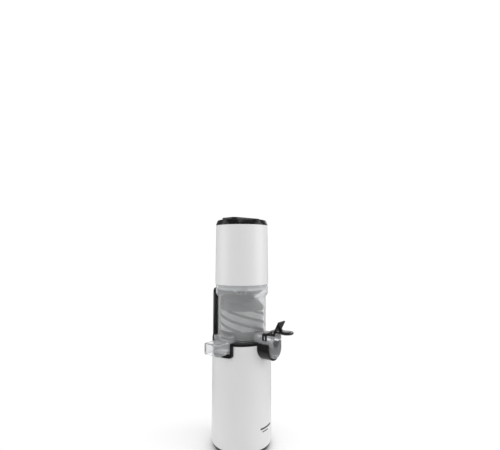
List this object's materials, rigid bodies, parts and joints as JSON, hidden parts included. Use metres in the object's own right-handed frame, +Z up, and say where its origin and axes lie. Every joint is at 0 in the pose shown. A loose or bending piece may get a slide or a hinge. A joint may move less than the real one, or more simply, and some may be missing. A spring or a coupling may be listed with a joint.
{
  "type": "slow juicer",
  "caption": "Slim upright slow juicer: round geared-motor base, clear bowl with pulp arm and juice spout, mesh auger, tall hopper and pusher.",
  "frame": {"origin": "on the drive axis, in the plane of the foot ring's underside", "axes": "+Z up along the drive axis; -Y is the front, where the juice spout points; -X is the side of the pulp arm; the column stands at +Y"},
  "size_m": [0.1418, 0.1774, 0.423],
  "materials": {
    "white_casing": "satin gloss",
    "black_gloss": "gloss",
    "black_matte": "fine matte",
    "panel_grey": "gloss",
    "clear_bowl": "frosted clear",
    "hopper_clear": "frosted clear",
    "steel_mesh": "etched mesh",
    "steel": "turned",
    "zinc_steel": "zinc plated",
    "core_steel": "stacked sheet",
    "magnet_grey": "sintered",
    "copper": "enamelled wire",
    "commutator_copper": "worn copper",
    "cast_alloy": "cast",
    "rubber_black": "matte",
    "silicone_grey": "matte",
    "nylon_ivory": "satin",
    "board_green": "solder mask",
    "carbon": "pressed carbon"
  },
  "bodies": {
    "base": {"housing_shell": "white_casing", "trim_ring": "black_gloss", "bottom_cover": "black_matte", "foot_ring": "rubber_black", "cover_screws": "zinc_steel", "top_frame": "black_gloss", "column_panel": "panel_grey", "lock_sensor": "board_green", "shaft_seal": "rubber_black", "switch_body": "black_matte", "cord_gland": "black_matte", "control_board": "board_green", "motor_can": "zinc_steel", "motor_magnets": "magnet_grey", "motor_end_cap": "black_matte", "motor_front_plate": "zinc_steel", "motor_bearings": "steel", "motor_brushes": "carbon", "motor_damper": "rubber_black", "gearbox_housing": "cast_alloy", "ring_gear": "core_steel", "gearbox_cover": "cast_alloy", "gearbox_screws": "zinc_steel", "output_bearing": "steel"},
    "rocker": {"switch_rocker": "black_gloss"},
    "rotor": {"rotor_core": "core_steel", "rotor_windings": "copper", "motor_shaft": "steel", "commutator": "commutator_copper", "cooling_fan": "black_matte"},
    "carrier_1": {"stage1_carrier": "steel"},
    "planet_1a": {"stage1_planet_a": "core_steel"},
    "planet_1b": {"stage1_planet_b": "core_steel"},
    "planet_1c": {"stage1_planet_c": "core_steel"},
    "drive": {"output_carrier": "steel", "drive_shaft": "steel"},
    "planet_2a": {"stage2_planet_a": "core_steel"},
    "planet_2b": {"stage2_planet_b": "core_steel"},
    "planet_2c": {"stage2_planet_c": "core_steel"},
    "bowl": {"bowl": "clear_bowl", "bowl_outlets": "clear_bowl", "bowl_seal": "silicone_grey", "pulp_plug": "silicone_grey"},
    "cap": {"cap_bracket": "black_gloss", "cap_hinge_pin": "steel"},
    "lid": {"spout_lid": "black_gloss", "lid_gasket": "silicone_grey"},
    "bush": {"auger_bush": "nylon_ivory"},
    "auger": {"auger_core": "black_matte", "auger_mesh": "steel_mesh", "auger_flights": "black_matte", "hex_socket": "steel"},
    "hopper": {"hopper_shell": "white_casing", "hopper_inner": "hopper_clear", "hopper_top_ring": "black_gloss", "bearing_pin": "black_matte", "hopper_seal": "silicone_grey"},
    "pusher": {"pusher_stem": "black_gloss", "pusher_plate": "black_gloss", "pusher_cap": "black_matte"}
  },
  "joints": [
    {"name": "switch_rock", "type": "hinge", "parent": "base", "child": "rocker", "pos_m": [0.0554, 0, 0.062], "axis": [0, 1, 0], "range_deg": [-8, 8]},
    {"name": "motor_spin", "type": "hinge", "parent": "base", "child": "rotor", "pos_m": [0, 0, 0.06], "axis": [0, 0, 1], "continuous": true},
    {"name": "stage1_spin", "type": "hinge", "parent": "base", "child": "carrier_1", "pos_m": [0, 0, 0.12], "axis": [0, 0, 1], "continuous": true},
    {"name": "drive_spin", "type": "hinge", "parent": "base", "child": "drive", "pos_m": [0, 0, 0.15], "axis": [0, 0, 1], "continuous": true},
    {"name": "planet_1a_spin", "type": "hinge", "parent": "carrier_1", "child": "planet_1a", "pos_m": [0.0225, 0, 0.11], "axis": [0, 0, 1], "continuous": true},
    {"name": "planet_1b_spin", "type": "hinge", "parent": "carrier_1", "child": "planet_1b", "pos_m": [-0.01125, 0.01949, 0.11], "axis": [0, 0, 1], "continuous": true},
    {"name": "planet_1c_spin", "type": "hinge", "parent": "carrier_1", "child": "planet_1c", "pos_m": [-0.01125, -0.01949, 0.11], "axis": [0, 0, 1], "continuous": true},
    {"name": "planet_2a_spin", "type": "hinge", "parent": "drive", "child": "planet_2a", "pos_m": [0.0225, 0, 0.13], "axis": [0, 0, 1], "continuous": true},
    {"name": "planet_2b_spin", "type": "hinge", "parent": "drive", "child": "planet_2b", "pos_m": [-0.01125, 0.01949, 0.13], "axis": [0, 0, 1], "continuous": true},
    {"name": "planet_2c_spin", "type": "hinge", "parent": "drive", "child": "planet_2c", "pos_m": [-0.01125, -0.01949, 0.13], "axis": [0, 0, 1], "continuous": true},
    {"name": "bowl_lift", "type": "slide", "parent": "base", "child": "bowl", "axis": [0, 0, 1], "range_m": [0, 0.131]},
    {"name": "cap_lift", "type": "slide", "parent": "bowl", "child": "cap", "axis": [0, 0, 1], "range_m": [0, 0.012]},
    {"name": "lid_hinge", "type": "hinge", "parent": "cap", "child": "lid", "pos_m": [0, -0.0802, 0.215], "axis": [1, 0, 0], "range_deg": [0, 90]},
    {"name": "auger_lift", "type": "slide", "parent": "bowl", "child": "bush", "axis": [0, 0, 1], "range_m": [0, 0.1155]},
    {"name": "auger_spin", "type": "hinge", "parent": "bush", "child": "auger", "pos_m": [0, 0, 0.25], "axis": [0, 0, 1], "continuous": true},
    {"name": "hopper_lift", "type": "slide", "parent": "bush", "child": "hopper", "axis": [0, 0, 1], "range_m": [0, 0.023]},
    {"name": "pusher_slide", "type": "slide", "parent": "hopper", "child": "pusher", "axis": [0, 0, 1], "range_m": [0, 0.156]}
  ],
  "couplings": [
    {"joint": "stage1_spin", "follows": "motor_spin", "ratio": 0.16667},
    {"joint": "planet_1a_spin", "follows": "motor_spin", "ratio": -0.41667},
    {"joint": "planet_1b_spin", "follows": "motor_spin", "ratio": -0.41667},
    {"joint": "planet_1c_spin", "follows": "motor_spin", "ratio": -0.41667},
    {"joint": "drive_spin", "follows": "motor_spin", "ratio": 0.027778},
    {"joint": "planet_2a_spin", "follows": "motor_spin", "ratio": -0.069444},
    {"joint": "planet_2b_spin", "follows": "motor_spin", "ratio": -0.069444},
    {"joint": "planet_2c_spin", "follows": "motor_spin", "ratio": -0.069444},
    {"joint": "auger_spin", "follows": "motor_spin", "ratio": 0.027778}
  ]
}
